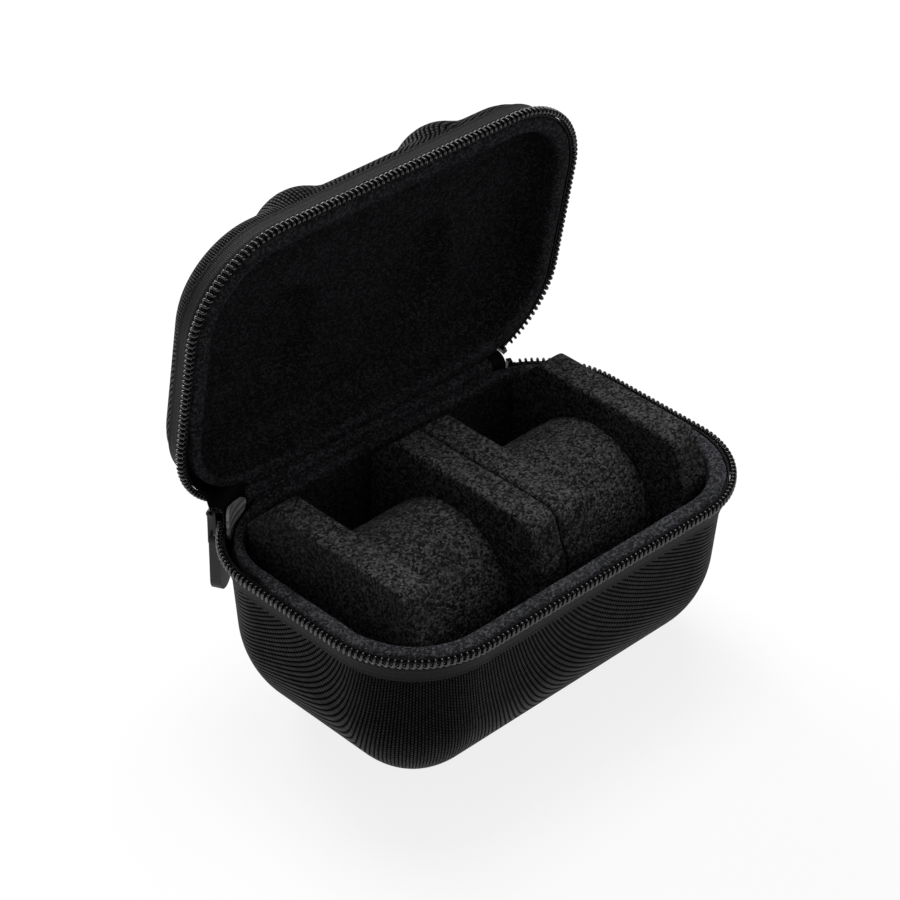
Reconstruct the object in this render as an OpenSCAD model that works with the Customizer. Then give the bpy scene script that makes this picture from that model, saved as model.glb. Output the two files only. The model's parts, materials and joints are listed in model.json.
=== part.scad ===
// Travel case for two wristwatches: a moulded base with foam inserts, and a domed lid
// that closes with a coil zip and opens on a fabric hinge.
// X runs along the front, Y towards the hinge and Z up.
// The origin is the middle of the flat underside. The lid is drawn open.

/* [Rim] */
// Length of the zip ring between the middles of its teeth
rim_l = 138; // [126:1:160]
// Depth of the zip ring between the middles of its teeth
rim_w = 90; // [84:1:110]
// Corner radius of the zip ring
rim_r = 28; // [27:0.5:32]
// Height of the closing plane above the underside
rim_z = 56; // [50:1:66]

/* [Moulded walls] */
// Thickness of the woven cover
cover_t = 0.7; // [0.5:0.1:1.2]
// Thickness of the moulded foam shell
shell_t = 2.8; // [2:0.1:3.4]
// Thickness of the velvet lining
lining_t = 0.8; // [0.5:0.1:1.2]
// Glue line between two layers
bond_gap = 0.05; // [0.02:0.01:0.1]
// Lean of the walls, in degrees
wall_lean = 4.5; // [2:0.5:6]
// Radius between the base wall and its underside
base_fillet = 32; // [28:0.5:33]
// Angle at which that radius meets the flat underside
base_edge = 18; // [16:1:22]
// Height of the lid above the closing plane, without its domes
lid_h = 16.5; // [16:0.5:24]
// Radius between the lid wall and its top
lid_fillet = 9; // [6:0.5:10]
// Distance from the closing plane to the edge of the woven cover
cover_edge = 6; // [5.8:0.1:7]
// Distance from the closing plane to the edge of the foam shell
shell_edge = 2.2; // [2:0.1:3]
// Inset of the cover edge from the middle of the teeth
cover_inset = 2.55; // [2.3:0.05:3]

/* [Zip] */
// Width of a tooth across the chain
tooth_w = 1.9; // [1.5:0.1:2.2]
// Height of a tooth
tooth_h = 2.75; // [2.2:0.05:3.2]
// Thickness of a tooth along the chain
tooth_t = 1.25; // [0.9:0.05:1.4]
// Distance between two teeth along the chain
tooth_pitch = 2.3; // [2:0.1:3]
// Bevel at the tip of a tooth
tooth_bevel = 0.35; // [0.1:0.05:0.4]
// Width of the spine that joins the teeth
spine_w = 0.6; // [0.4:0.05:0.8]
// Distance from the closing plane to the heads of the teeth
head_gap = 0.45; // [0.4:0.05:0.7]
// Thickness of the zip tape
tape_t = 0.55; // [0.4:0.05:0.7]
// Distance from the closing plane to the free edge of the tape
tape_top = 1.2; // [1:0.1:2]
// Upright part of the tape, measured from the closing plane
tape_bend = 5.4; // [5:0.1:5.8]
// Place where the tape meets the cover, measured from the closing plane
tape_meet = 8; // [7.6:0.1:8.6]
// Far edge of the tape, measured from the closing plane
tape_end = 9.5; // [9:0.1:10.5]
// Free slot between the tape and the rim of the shell
slot_w = 2.3; // [2.25:0.05:2.6]
// Chain end on the base at the slider, degrees round the back corner
base_chain_left = 75; // [72:1:76]
// Chain end on the lid at the slider, degrees round the back corner
lid_chain_left = 44; // [38:1:46]
// Chain end away from the slider, degrees round the back corner
chain_right = 62; // [58:1:64]
// Length of an end stop round the corner, in degrees
stop_deg = 3; // [2:0.5:4]
// How far an end stop stands proud of the teeth
stop_proud = 0.25; // [0.1:0.05:0.4]

/* [Slider] */
// Place of the parked slider, degrees round the back corner
slider_deg = 62; // [58:1:62]
// Length of the slider
slider_l = 12.5; // [11:0.5:13]
// Height of the slider at its open end
slider_wide = 9.6; // [9:0.1:9.8]
// Height of the slider at its narrow end
slider_tip = 4.8; // [4:0.1:5]
// Thickness of the slider plates
plate_t = 0.8; // [0.7:0.05:0.85]
// Free space between the plates and the chain
chain_clear = 0.25; // [0.2:0.05:0.3]
// Thickness of the neck between the plates
neck_t = 0.5; // [0.3:0.05:0.5]
// Length of the neck
neck_l = 3; // [2:0.5:4]
// Corner radius of the open end
plate_corner = 2; // [1:0.25:3]

/* [Pull] */
// Radius of the bridge bar
bar_r = 0.5; // [0.4:0.05:0.7]
// Thickness of a bridge post along the slider
post_t = 1; // [0.8:0.1:1.4]
// Free space round the bar and beside the eye
eye_clear = 0.25; // [0.2:0.05:0.3]
// Wall of the eye
eye_wall = 0.55; // [0.5:0.05:0.8]
// Width of the eye
eye_w = 4.6; // [4:0.1:5]
// Width of the pull tab
pull_w = 8.5; // [7:0.5:10]
// Thickness of the eye and neck of the pull tab
pull_t = 2; // [1.4:0.1:2.2]
// Thickness of the grip of the pull tab
grip_t = 3; // [2:0.1:3.4]
// How far the grip is set from its bar towards the case
grip_set = 1.5; // [1:0.1:1.6]
// Length of the pull tab below its bar
pull_l = 25; // [18:1:30]
// Length of the narrow neck of the pull tab
pull_neck = 5; // [4:0.5:7]

/* [Inserts] */
// Thickness of a foam cheek
cheek_t = 10; // [8:0.5:10]
// Height of the cheeks above the closing plane
cheek_rise = 11.3; // [8:0.1:11.3]
// Length of a cheek from front to back
cheek_l = 66; // [60:1:68]
// Radius of the front shoulder of a cheek
cheek_front_r = 6; // [3:0.5:10]
// How far that shoulder stands back from the front of the cheek
cheek_front_set = 3.5; // [2:0.5:5]
// Depth below the closing plane where the slanted front of a cheek ends
cheek_front_foot = 3; // [1:0.5:8]
// Size of the bevel along the back of a cheek
cheek_back_cut = 10; // [6:0.5:14]
// Seam between the two middle cheeks
seam_gap = 0.3; // [0.2:0.05:0.6]
// Free space between an outer cheek and the end wall, in the closing plane
end_gap = 7.6; // [7:0.1:9]
// Length of a core from front to back
core_l = 48; // [44:1:52]
// Height of the cores above the closing plane
core_rise = 3; // [0:0.5:5]
// Radius of the lower edges of a core
core_foot_r = 8; // [4:0.5:12]
// Free space round a core and under the foam
foam_clear = 0.3; // [0.2:0.05:0.5]

/* [Domes] */
// Distance of each dome from the middle of the lid
dome_x = 25; // [22:0.5:28]
// Rise of a dome above the lid
dome_rise = 5.5; // [4:0.25:7]
// Radius of the shoulders of a dome
dome_r = 11.5; // [10:0.5:12]
// Half width of the flat top of a dome
dome_flat = 3; // [2:0.5:4]
// Front end of the middle line of a dome
dome_front = -27.4; // [-27.4:0.1:-20]
// Back end of the middle line of a dome
dome_back = 18; // [16:0.5:20]
// Front end of the middle line of the recess inside a dome
recess_front = 0; // [-14:0.5:4]
// Back end of the middle line of that recess
recess_back = 14.5; // [12:0.5:16]

/* [Hinge] */
// How far the lid stands open, in degrees from closed
lid_open = 80.5; // [70:0.5:95]
// Gap between the hinge tapes and the closing plane
fold_gap = 0.1; // [0.05:0.05:0.2]
// Start of the hinge tape beside the slider, degrees round the back corner
hinge_left = 81; // [80:1:88]
// Free space between the hinge tape and the zip tape at the other end, in degrees
hinge_join = 2; // [0.5:0.5:4]
// Length of the velvet strip along the inside of the hinge
strip_l = 78; // [60:1:80]
// Depth of that strip below the closing plane
strip_h = 4.5; // [3:0.1:5]

/* [Hidden] */

// Colours of the finishes
woven = [0.09, 0.09, 0.10];
board = [0.16, 0.16, 0.17];
velvet = [0.12, 0.12, 0.13];
webbing = [0.07, 0.07, 0.08];
nylon = [0.05, 0.05, 0.05];
foam = [0.15, 0.15, 0.16];
satin = [0.45, 0.45, 0.47];
rubber = [0.08, 0.08, 0.08];

// Corner centres of the rim
cx = rim_l/2 - rim_r;
cy = rim_w/2 - rim_r;

// Insets of the layers from the face of the cover
shell_in = cover_t + bond_gap;
lining_in = shell_in + shell_t + bond_gap;
cavity_in = lining_in + lining_t;

// Insets from the middle of the teeth
tape_face = tooth_w/2 + bond_gap;
tape_back = tape_face + tape_t;
shell_rim = tape_back + slot_w;

// The lid turns about the outer face of the hinge tape, in the closing plane
hinge_y = rim_w/2 - tape_face;

// The slider straddles the chain
plate_in = tape_back + chain_clear;
plate_out = tooth_w/2 + chain_clear;
eye_r = bar_r + eye_clear + eye_wall;
bar_x = rim_r + plate_out + plate_t + eye_r + eye_clear;

over = 1;
$fn = 96;

// Radius of the drafted wall at height z, for a layer inset from the cover's face
function wall_r(z, inset) =
    rim_r - cover_inset - inset/cos(wall_lean) + (z + cover_edge)*tan(wall_lean);

// Places of the foam pieces. The inner cheeks stand in the middle and the outer ones by the end walls.
inner_x = seam_gap/2;
seat_x = inner_x + cheek_t;
outer_x = cx + wall_r(0, cavity_in) - end_gap - cheek_t;
seat_w = outer_x - seat_x;

// Half of the cross section of a tub, measured from the corner centre
module section(inset, h, fillet, edge, top) {
    zc = -h + fillet*cos(edge);
    rc = wall_r(zc, 0) - fillet/cos(wall_lean);
    floor_z = -h + inset;
    intersection() {
        polygon([
            [0, floor_z],
            [wall_r(floor_z, inset), floor_z],
            [wall_r(top, inset), top],
            [0, top]
        ]);
        union() {
            translate([0, zc])
                square([rim_r + over, top - zc]);
            translate([rc, zc])
                circle(fillet - inset);
            if (rc > 0)
                translate([0, floor_z])
                    square([rc, zc - floor_z + over]);
        }
    }
}

// A straight side of the rim: 0 right, 90 back, 180 left and 270 front
module side(turn, half, reach) {
    rotate([0, 0, turn])
        translate([reach, half, 0])
            rotate([90, 0, 0])
                linear_extrude(2*half)
                    children();
}

// Part of a rim corner, from one angle to another
module bend(x, y, from, to) {
    translate([x, y, 0])
        rotate([0, 0, from])
            rotate_extrude(angle = to - from)
                children();
}

// A section carried all the way round the rim
module round_rim() {
    side(0, cy, cx) children();
    side(90, cx, cy) children();
    side(180, cy, cx) children();
    side(270, cx, cy) children();
    bend(cx, cy, 0, 90) children();
    bend(-cx, cy, 90, 180) children();
    bend(-cx, -cy, 180, 270) children();
    bend(cx, -cy, 270, 360) children();
}

// The part of the plan that lies behind two radial cuts through the back corners
module hinge_sector(left_deg, right_deg) {
    reach = rim_l;
    translate([0, 0, -rim_z])
        linear_extrude(2*rim_z)
            polygon([
                [cx, cy],
                [cx + reach*cos(right_deg), cy + reach*sin(right_deg)],
                [-cx - reach*cos(left_deg), cy + reach*sin(left_deg)],
                [-cx, cy]
            ]);
}

// A section carried along the opening part of the rim, between two places on the back corners
module zip_run(left_deg, right_deg)
    difference() {
        round_rim() children();
        hinge_sector(left_deg, right_deg);
    }

// A section carried along the hinge, between two places on the back corners
module hinge_run(left_deg, right_deg)
    intersection() {
        round_rim() children();
        hinge_sector(left_deg, right_deg);
    }

// A solid tub below the closing plane
module tub(inset, h, fillet, edge, top) {
    round_rim() section(inset, h, fillet, edge, top);
    translate([-cx, -cy, -h + inset])
        cube([2*cx, 2*cy, h - inset + top]);
}

module base_tub(inset, top) tub(inset, rim_z, base_fillet, base_edge, top);
module lid_tub(inset, top) tub(inset, lid_h, lid_fillet, 0, top);

// The slot that the slider's inner plate runs in
module slider_slot() {
    round_rim()
        translate([rim_r - shell_rim, -cover_edge])
            square([shell_rim + over, cover_edge + over]);
}

// The rolled lip of the lining over the edge of the shell
module lip() {
    low = wall_r(-shell_edge, cavity_in);
    high = rim_r - shell_rim;
    round_rim()
        intersection() {
            translate([(low + high)/2, -shell_edge])
                circle((high - low)/2);
            translate([low, -shell_edge])
                square([high - low, shell_edge]);
        }
}

// Outline of the tape: upright behind the teeth, then slanted down onto the cover
module tape_section(top) {
    face = rim_r - tape_face;
    lie = bond_gap;
    polygon([
        [face, -top],
        [face, -tape_bend],
        [wall_r(-tape_meet, 0) + lie + tape_t, -tape_meet],
        [wall_r(-tape_end, 0) + lie + tape_t, -tape_end],
        [wall_r(-tape_end, 0) + lie, -tape_end],
        [wall_r(-tape_meet, 0) + lie, -tape_meet],
        [face - tape_t, -tape_bend],
        [face - tape_t, -top]
    ]);
}

// A point on the chain, a distance s along it from the slider end and set out from the middle
function chain_point(s, out, left_deg) =
    let (
        r = rim_r + out,
        a = rim_r*left_deg*PI/180,
        q = rim_r*PI/2,
        b = a + 2*cy,
        c = b + q,
        d = c + 2*cx,
        e = d + q,
        f = e + 2*cy
    )
    s < a ? let (t = 180 - left_deg + s/rim_r*180/PI) [-cx + r*cos(t), cy + r*sin(t)] :
    s < b ? [-cx - r, cy - (s - a)] :
    s < c ? let (t = 180 + (s - b)/rim_r*180/PI) [-cx + r*cos(t), -cy + r*sin(t)] :
    s < d ? [-cx + (s - c), -cy - r] :
    s < e ? let (t = 270 + (s - d)/rim_r*180/PI) [cx + r*cos(t), -cy + r*sin(t)] :
    s < f ? [cx + r, -cy + (s - e)] :
    let (t = (s - f)/rim_r*180/PI) [cx + r*cos(t), cy + r*sin(t)];

// The row of teeth on its spine. Each tooth is a bevelled block that stands out from the tape.
module teeth_row(left_deg, phase) {
    length = rim_r*(left_deg + chain_right + 180)*PI/180 + 4*cy + 2*cx;
    count = floor((length - phase - tooth_t)/tooth_pitch);
    back = -tooth_w/2;
    root = back + spine_w;
    tip = tooth_w/2;
    half = tooth_t/2;
    comb = [
        for (i = [0:count])
            let (s = phase + half + i*tooth_pitch)
                for (p = [
                    [-half, root],
                    [-half, tip - tooth_bevel],
                    [-half + tooth_bevel, tip],
                    [half - tooth_bevel, tip],
                    [half, tip - tooth_bevel],
                    [half, root]
                ])
                    chain_point(s + p[0], p[1], left_deg)
    ];
    spine = [
        for (i = [count:-1:0])
            let (s = phase + half + i*tooth_pitch)
                for (p = [half, -half])
                    chain_point(s + p, back, left_deg)
    ];
    translate([0, 0, -head_gap - tooth_h])
        linear_extrude(tooth_h)
            polygon(concat(comb, spine));
}

// A crimped stop that closes one end of a row of teeth
module end_stop(x, from) {
    bend(x, cy, from, from + stop_deg)
        translate([rim_r - tooth_w/2, -head_gap - tooth_h - stop_proud])
            square([tooth_w + stop_proud, tooth_h + stop_proud]);
}

// The velvet strip between the hinge tape and the rim of the shell
module strip() {
    side(90, strip_l/2, cy)
        translate([rim_r - shell_rim + bond_gap, -strip_h])
            square([slot_w - 2*bond_gap, strip_h - 3*fold_gap]);
}

// Half of the cross section of a dome, measured from its middle line
module dome_section(inset) {
    r = dome_r - inset;
    zc = -lid_h - dome_rise + dome_r;
    intersection() {
        union() {
            translate([dome_flat, zc])
                circle(r);
            translate([0, zc - r])
                square([dome_flat, r]);
        }
        translate([0, zc - r])
            square([dome_flat + r, r]);
    }
}

// A pair of long domes along the lid
module domes(inset, front, back) {
    for (x = [-dome_x, dome_x]) {
        for (y = [front, back])
            translate([x, y, 0])
                rotate_extrude()
                    dome_section(inset);
        translate([x, back, 0])
            rotate([90, 0, 0])
                linear_extrude(back - front)
                    for (flip = [0, 1])
                        mirror([flip, 0])
                            dome_section(inset);
    }
}

// Places
module on_base() translate([0, 0, rim_z]) children();

module on_lid()
    translate([0, hinge_y, rim_z])
        rotate([-lid_open, 0, 0])
            translate([0, -hinge_y, 0])
                mirror([0, 0, 1])
                    children();

module on_slider()
    translate([-cx, cy, rim_z])
        rotate([0, 0, 180 - slider_deg])
            children();

// The base
module base_cover()
    color(woven) on_base()
        difference() {
            base_tub(0, -cover_edge);
            base_tub(cover_t, over);
        }

module base_shell()
    color(board) on_base()
        difference() {
            base_tub(shell_in, -shell_edge);
            base_tub(shell_in + shell_t, over);
            slider_slot();
        }

module base_lining()
    color(velvet) on_base() {
        difference() {
            base_tub(lining_in, -shell_edge);
            base_tub(cavity_in, over);
        }
        lip();
    }

module base_zip_tape()
    color(webbing) on_base()
        zip_run(base_chain_left + stop_deg + 2, chain_right + stop_deg + 1)
            tape_section(tape_top);

module base_zip_teeth()
    color(nylon) on_base()
        teeth_row(base_chain_left, 0);

module base_zip_stops()
    color(satin) on_base() {
        end_stop(-cx, 180 - base_chain_left - stop_deg - 1);
        end_stop(cx, chain_right + 0.5);
    }

module base_hinge_tape()
    color(webbing) on_base()
        hinge_run(hinge_left, chain_right + stop_deg + 1 + hinge_join)
            tape_section(fold_gap);

module base_hinge_strip()
    color(velvet) on_base()
        strip();

// The foam inserts
module foam_limit()
    on_base()
        base_tub(cavity_in + foam_clear, over);

// Side view of a cheek: a round shoulder over a slanted front, a flat top and a bevelled back
module cheek_section() {
    half = cheek_l/2;
    low = -rim_z;
    yc = -half + cheek_front_set + cheek_front_r;
    zc = cheek_rise - cheek_front_r;
    run = [yc + half, zc + cheek_front_foot];
    turn = atan2(run[1], run[0]) + asin(cheek_front_r/norm(run));
    slant = sqrt(run*run - cheek_front_r*cheek_front_r);
    translate([yc, zc])
        circle(cheek_front_r);
    polygon([
        [-half, low],
        [half, low],
        [half, cheek_rise - cheek_back_cut],
        [half - cheek_back_cut, cheek_rise],
        [yc, cheek_rise],
        [yc, zc],
        [-half + slant*cos(turn), -cheek_front_foot + slant*sin(turn)],
        [-half, -cheek_front_foot]
    ]);
}

// The part of the foam that stands above the closing plane is free of the walls
module foam_room() {
    foam_limit();
    translate([-cx - rim_r/2, -rim_w/2 + cavity_in, rim_z])
        cube([2*cx + rim_r, rim_w - 2*cavity_in, cheek_rise + over]);
}

module cheek(x)
    color(foam)
        intersection() {
            foam_room();
            translate([x, 0, rim_z])
                rotate([90, 0, 90])
                    linear_extrude(cheek_t)
                        cheek_section();
        }

// Side view of a core: a round top that a strap closes over, and rounded feet
module core_section() {
    half = core_l/2;
    zc = core_rise - half;
    low = -rim_z + cavity_in + foam_clear;
    translate([0, zc])
        circle(half);
    translate([-half, low + core_foot_r])
        square([core_l, zc - low - core_foot_r]);
    translate([-half + core_foot_r, low])
        square([core_l - 2*core_foot_r, core_foot_r]);
    for (s = [-1, 1])
        translate([s*(half - core_foot_r), low + core_foot_r])
            circle(core_foot_r);
}

module core(x)
    color(foam)
        intersection() {
            foam_room();
            translate([x, 0, rim_z])
                rotate([90, 0, 90])
                    linear_extrude(seat_w - 2*foam_clear)
                        core_section();
        }

module left_outer_cheek() cheek(-outer_x - cheek_t);
module left_core() core(-outer_x + foam_clear);
module left_inner_cheek() cheek(-inner_x - cheek_t);
module right_inner_cheek() cheek(inner_x);
module right_core() core(seat_x + foam_clear);
module right_outer_cheek() cheek(outer_x);

// The lid, drawn as a tub with its mouth up and then turned over onto the hinge
module lid_cover()
    color(woven) on_lid()
        difference() {
            union() {
                lid_tub(0, -cover_edge);
                domes(0, dome_front, dome_back);
            }
            lid_tub(cover_t, over);
            domes(cover_t, dome_front, dome_back);
        }

module lid_shell()
    color(board) on_lid()
        difference() {
            union() {
                lid_tub(shell_in, -shell_edge);
                domes(shell_in, dome_front, dome_back);
            }
            lid_tub(shell_in + shell_t, over);
            domes(shell_in + shell_t, recess_front, recess_back);
            slider_slot();
        }

module lid_lining()
    color(velvet) on_lid() {
        difference() {
            union() {
                lid_tub(lining_in, -shell_edge);
                domes(lining_in, recess_front, recess_back);
            }
            lid_tub(cavity_in, over);
            domes(cavity_in, recess_front, recess_back);
        }
        lip();
    }

module lid_zip_tape()
    color(webbing) on_lid()
        zip_run(lid_chain_left + 1, chain_right + stop_deg + 1)
            tape_section(tape_top);

module lid_zip_teeth()
    color(nylon) on_lid()
        teeth_row(lid_chain_left, 0);

module lid_zip_stop()
    color(satin) on_lid()
        end_stop(cx, chain_right + 0.5);

module lid_hinge_tape()
    color(webbing) on_lid()
        hinge_run(hinge_left, chain_right + stop_deg + 1 + hinge_join)
            tape_section(fold_gap);

module lid_hinge_strip()
    color(velvet) on_lid()
        strip();

// The slider. Its plates follow the curve of the corner that it is parked on.
module plate_outline() {
    half = slider_l/2;
    tip = slider_tip/2;
    wide = slider_wide/2;
    polygon([
        [-half + tip, -tip],
        [half - plate_corner, -wide],
        [half - plate_corner, wide],
        [-half + tip, tip]
    ]);
    translate([-half + tip, 0])
        circle(tip);
    for (s = [-1, 1])
        translate([half - plate_corner, s*(wide - plate_corner)])
            circle(plate_corner);
    translate([half - plate_corner, -wide + plate_corner])
        square([plate_corner, slider_wide - 2*plate_corner]);
}

module plate(r)
    intersection() {
        difference() {
            cylinder(h = slider_wide, r = r + plate_t, center = true);
            cylinder(h = slider_wide + over, r = r, center = true);
        }
        translate([r/2, 0, 0])
            rotate([90, 0, 90])
                linear_extrude(r)
                    plate_outline();
    }

module slider_body()
    color(satin) on_slider() {
        plate(rim_r + plate_out);
        plate(rim_r - plate_in - plate_t);
        translate([rim_r - plate_in - plate_t/2, slider_l/2 - plate_corner - neck_l, -neck_t/2])
            cube([plate_in + plate_out + plate_t, neck_l, neck_t]);
    }

module slider_bridge() {
    span = eye_w + 2*eye_clear;
    color(satin) on_slider()
        difference() {
            union() {
                translate([bar_x, 0, 0])
                    rotate([90, 0, 0])
                        cylinder(h = span + 2*post_t, r = bar_r, center = true);
                for (s = [-1, 1])
                    translate([rim_r, s*(span + post_t)/2 - post_t/2, -bar_r])
                        cube([bar_x - rim_r + bar_r, post_t, 2*bar_r]);
            }
            cylinder(h = slider_wide, r = rim_r + plate_out + plate_t + bond_gap/2, center = true);
        }
}

// Outline of the neck that carries the grip
module pull_stem()
    translate([-eye_w/2, -pull_neck - eye_w])
        square([eye_w, pull_neck + eye_w - bar_r - eye_clear]);

// Outline of the grip, rounded at both ends
module grip_outline() {
    half = pull_w/2;
    shoulder = half - over;
    translate([-half, -pull_l + half])
        square([pull_w, pull_l - pull_neck - half - shoulder]);
    translate([0, -pull_l + half])
        circle(half);
    translate([-half + shoulder, -pull_neck - shoulder])
        square([pull_w - 2*shoulder, shoulder]);
    for (s = [-1, 1])
        translate([s*(half - shoulder), -pull_neck - shoulder])
            circle(shoulder);
}

module pull_tab()
    color(rubber) on_slider()
        translate([bar_x, 0, 0])
            difference() {
                union() {
                    rotate([90, 0, 0])
                        cylinder(h = eye_w, r = eye_r, center = true);
                    translate([-pull_t/2, 0, 0])
                        rotate([90, 0, 90])
                            linear_extrude(pull_t)
                                pull_stem();
                    translate([-grip_set - grip_t/2, 0, 0])
                        rotate([90, 0, 90])
                            linear_extrude(grip_t)
                                grip_outline();
                }
                rotate([90, 0, 0])
                    cylinder(h = eye_w + over, r = bar_r + eye_clear, center = true);
            }

base_cover();
base_shell();
base_lining();
base_zip_tape();
base_zip_teeth();
base_zip_stops();
base_hinge_tape();
base_hinge_strip();
left_outer_cheek();
left_core();
left_inner_cheek();
right_inner_cheek();
right_core();
right_outer_cheek();
lid_cover();
lid_shell();
lid_lining();
lid_zip_tape();
lid_zip_teeth();
lid_zip_stop();
lid_hinge_tape();
lid_hinge_strip();
slider_body();
slider_bridge();
pull_tab();
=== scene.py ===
"""Dresses a travel case for two wristwatches: cover, velvet lining, coil zip, foam inserts and slider."""

import json
import math
from functools import partial

import bmesh
import bpy
import numpy as np
from bpy.props import FloatProperty, FloatVectorProperty, IntProperty, PointerProperty
from mathutils import Matrix, Vector, noise


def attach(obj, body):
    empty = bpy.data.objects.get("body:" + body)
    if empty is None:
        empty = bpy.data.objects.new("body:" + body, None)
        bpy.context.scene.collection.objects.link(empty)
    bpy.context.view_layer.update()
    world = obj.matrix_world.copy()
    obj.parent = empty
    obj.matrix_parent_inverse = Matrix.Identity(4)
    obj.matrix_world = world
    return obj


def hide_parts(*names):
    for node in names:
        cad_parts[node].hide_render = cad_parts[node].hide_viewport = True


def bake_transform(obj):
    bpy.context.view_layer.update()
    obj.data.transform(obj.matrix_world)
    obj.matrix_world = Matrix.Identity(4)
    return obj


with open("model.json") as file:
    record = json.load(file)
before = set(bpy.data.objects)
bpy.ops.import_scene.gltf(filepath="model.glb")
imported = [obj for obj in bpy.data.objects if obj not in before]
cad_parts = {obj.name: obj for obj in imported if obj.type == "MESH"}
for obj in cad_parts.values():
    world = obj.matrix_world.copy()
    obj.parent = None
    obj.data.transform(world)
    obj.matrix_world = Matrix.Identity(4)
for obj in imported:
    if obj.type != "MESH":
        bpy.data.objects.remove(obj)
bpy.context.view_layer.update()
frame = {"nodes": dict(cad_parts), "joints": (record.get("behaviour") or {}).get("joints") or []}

bl_info = {
    "name": "Watch travel case",
    "version": (1, 0, 0),
    "blender": (4, 5, 0),
    "location": "View3D > Sidebar > Watch case",
    "description": "Builds the cloth, foam, zip and metal of a travel case for two wristwatches",
    "category": "Object",
}

MM = 0.001
HINGE = next(j for j in frame["joints"] if j["name"] == "lid_hinge")
LID_OPEN = math.radians(-HINGE["range_deg"][0])
HINGE_Y = HINGE["pos_m"][1]
RIM_Z = HINGE["pos_m"][2]


def length(label, millimetres, note):
    """A length that the user may change."""
    return FloatProperty(name=label, description=note, default=millimetres * MM, unit="LENGTH")


def angle(label, degrees, note):
    """An angle that the user may change."""
    return FloatProperty(name=label, description=note, default=math.radians(degrees), subtype="ANGLE")


def tint(label, colour, note):
    """A colour that the user may change."""
    return FloatVectorProperty(name=label, description=note, default=colour, subtype="COLOR")


class CaseSizes(bpy.types.PropertyGroup):
    """Sizes of the moulded walls, measured as on the construction."""

    rim_length: length("Zip ring length", 138, "Length of the ring that the coil runs round")
    rim_width: length("Zip ring width", 90, "Width of the ring that the coil runs round")
    rim_radius: length("Zip ring corner radius", 28, "Radius of the ring's corners")
    lean: angle("Wall lean", 4.5, "How far the moulded walls lean outwards towards the zip")
    cover_edge: length("Cover edge", 6, "Depth of the cover's edge below the closing plane")
    cover_inset: length("Cover inset", 2.55, "How far the cover's edge lies inside the zip ring")
    cover_thick: length("Cover thickness", 0.7, "Thickness of the woven cover")
    lining_in: length("Lining depth", 3.6, "Distance of the lining's back from the cover's face")
    lining_thick: length("Lining thickness", 0.8, "Thickness of the velvet lining")
    lip_drop: length("Lip root", 2.2, "Depth of the shell's edge, where the lip is rolled over it")
    slot_outer: length("Lip beside the slider", 3.85, "Inset of the slim lip where the slider runs")
    lip_outer: length("Lip elsewhere", 1.75, "Inset of the full lip from the zip ring")
    lip_rise: length("Lip rise", 1.55, "Rise of the lip over the shell's edge")
    lip_seam: length("Lip seam", 12, "Place of the seam in the lid's lip, from the middle of the hinge")
    base_fillet: length("Base fillet", 32, "Radius between the base's wall and its underside")
    base_edge: angle("Base edge", 18, "Angle at which the base's fillet meets the underside")
    lid_height: length("Lid height", 16.5, "Depth of the lid from the closing plane")
    lid_fillet: length("Lid fillet", 9, "Radius between the lid's wall and its top")
    dome_x: length("Dome place", 25, "Distance of each dome from the middle of the lid")
    dome_rise: length("Dome rise", 5.5, "Rise of the domes over the lid's top")
    dome_radius: length("Dome shoulder", 11.5, "Radius of a dome's shoulder")
    dome_flat: length("Dome flat", 3, "Half width of a dome's flat top")
    recess_less: length("Recess slack", 0.4, "How far the lining stays off the bottom of a dome")
    cover_blend: length("Dome foot outside", 1.6, "Softness of the domes' foot in the cover")
    lining_blend: length("Dome foot inside", 2.0, "Softness of the domes' foot in the lining")
    mesh_step: length("Mesh step", 1.5, "Spacing of the points on the moulded pieces")


class ZipSizes(bpy.types.PropertyGroup):
    """Sizes of the coil zip."""

    tooth_width: length("Coil width", 1.9, "Width of the coil across the tape")
    tooth_height: length("Coil height", 2.75, "Height of the coil along the tape")
    head_gap: length("Head gap", 0.45, "Distance of the coil's heads from the closing plane")
    pitch: length("Coil pitch", 1.7, "Distance from one loop of the coil to the next")
    wire: length("Wire radius", 0.42, "Radius of the coil's nylon wire")
    squareness: FloatProperty(
        name="Loop squareness",
        description="Power that shapes a loop: 1 is round, and a smaller one is squarer",
        default=0.62,
        subtype="FACTOR",
    )
    head_lead: length("Head lead", 0.22, "How far the heads lean ahead of their legs")
    turn_points: IntProperty(name="Loop points", description="Points in one loop of the coil", default=18)
    tape_thick: length("Tape thickness", 0.55, "Thickness of the zip tape")
    tape_face: length("Tape inset", 1.0, "Distance of the tape's face from the zip ring")
    tape_top: length("Tape edge", 1.2, "Depth of the tape's free edge below the closing plane")
    tape_bend: length("Tape bend", 5.4, "Depth at which the tape turns towards the cover")
    tape_meet: length("Tape meets the cover", 8, "Depth at which the tape lies down on the cover")
    tape_end: length("Tape end", 9.5, "Depth of the tape's far edge on the cover")
    base_left: angle("Base coil end", 75, "Place of the base coil's end at the slider, round the corner")
    lid_left: angle("Lid coil end", 58, "Place of the lid coil's end at the slider, round the corner")
    right: angle("Far coil end", 62, "Place of both coils' ends at the far corner")
    hinge_left: angle("Hinge start", 77, "Place where the hinge cloth starts at the slider")
    hinge_right: angle("Hinge end", 68, "Place where the hinge cloth ends at the far corner")
    saddle_top: length("Saddle height", 5.5, "Height of the corner cloth, from the closing plane")


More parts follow.
